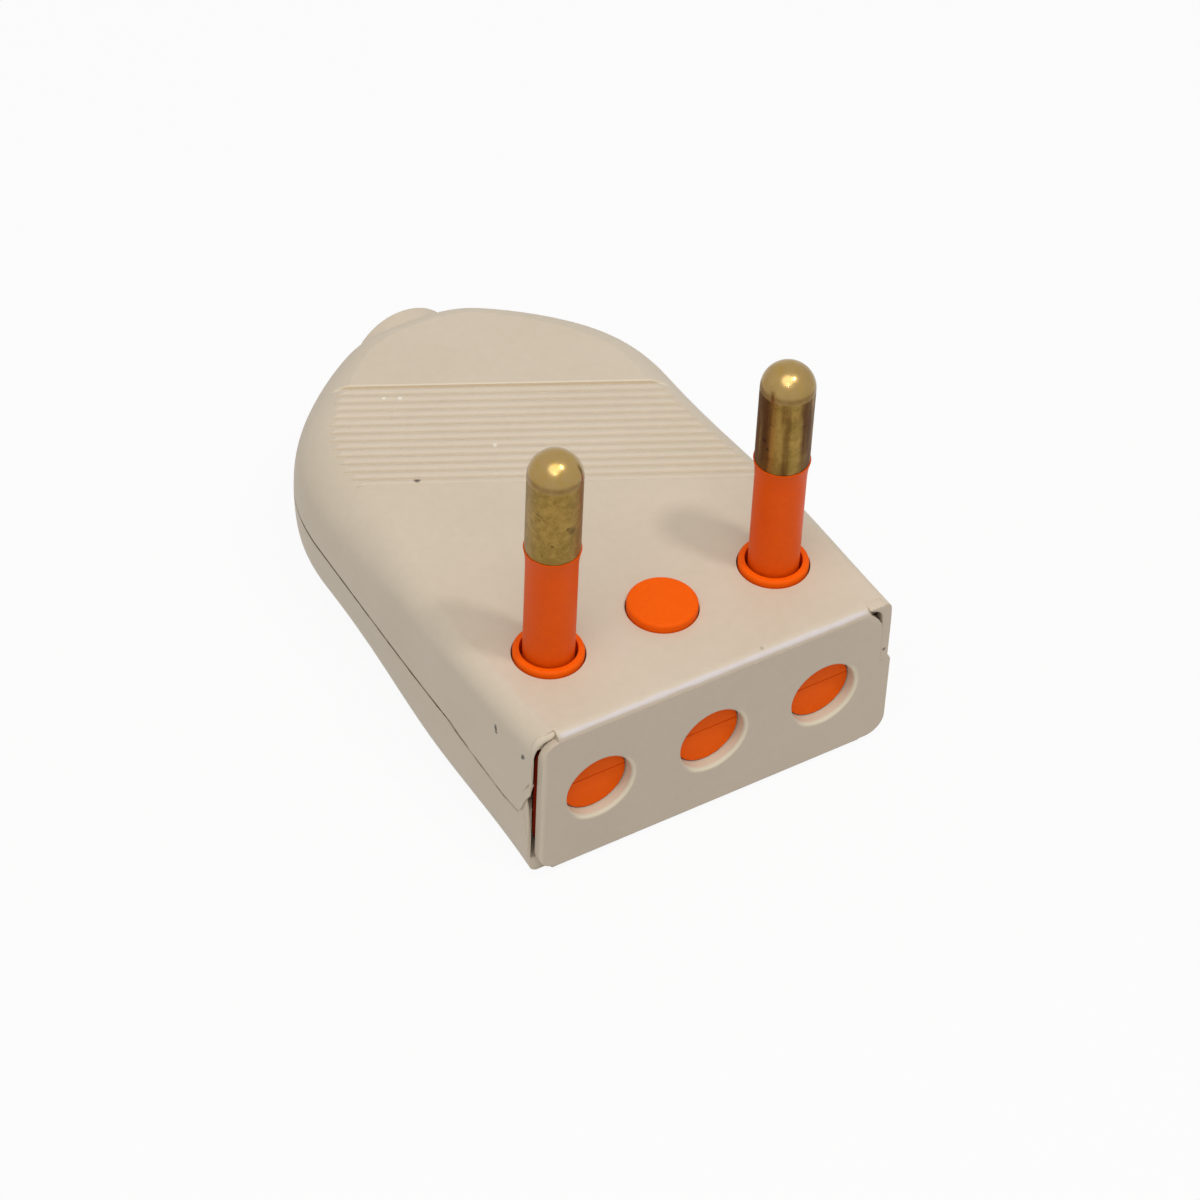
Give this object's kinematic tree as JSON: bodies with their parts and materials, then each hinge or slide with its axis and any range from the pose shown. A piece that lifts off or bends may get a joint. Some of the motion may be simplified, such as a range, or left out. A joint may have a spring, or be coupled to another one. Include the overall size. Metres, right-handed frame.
{
  "type": "two-pin plug",
  "caption": "Rewirable two-pin mains plug with a folded one-piece cover, sleeved round brass pins and a side cord outlet.",
  "frame": {"origin": "on the flat underside, straight below the midpoint between the two pins", "axes": "+Z along the pins, +Y towards the cord outlet, +X along the row of pins"},
  "size_m": [0.0312, 0.0458, 0.0328],
  "materials": {
    "cover_plastic": "satin moulded polypropylene, cream",
    "carrier_plastic": "satin moulded, orange",
    "sleeve_plastic": "satin moulded, orange",
    "clamp_plastic": "satin moulded, orange",
    "pin_brass": "turned, tarnished",
    "screw_steel": "zinc plated"
  },
  "bodies": {
    "root": {"cover": "cover_plastic", "carrier_base": "carrier_plastic", "carrier_cap": "carrier_plastic", "pin_left": "pin_brass", "pin_right": "pin_brass", "pin_sleeve_left": "sleeve_plastic", "pin_sleeve_right": "sleeve_plastic", "terminal_screw_left": "screw_steel", "terminal_screw_right": "screw_steel", "cord_clamp_bar": "clamp_plastic", "clamp_screw_left": "screw_steel", "clamp_screw_right": "screw_steel", "cover_screw": "screw_steel"}
  },
  "joints": []
}
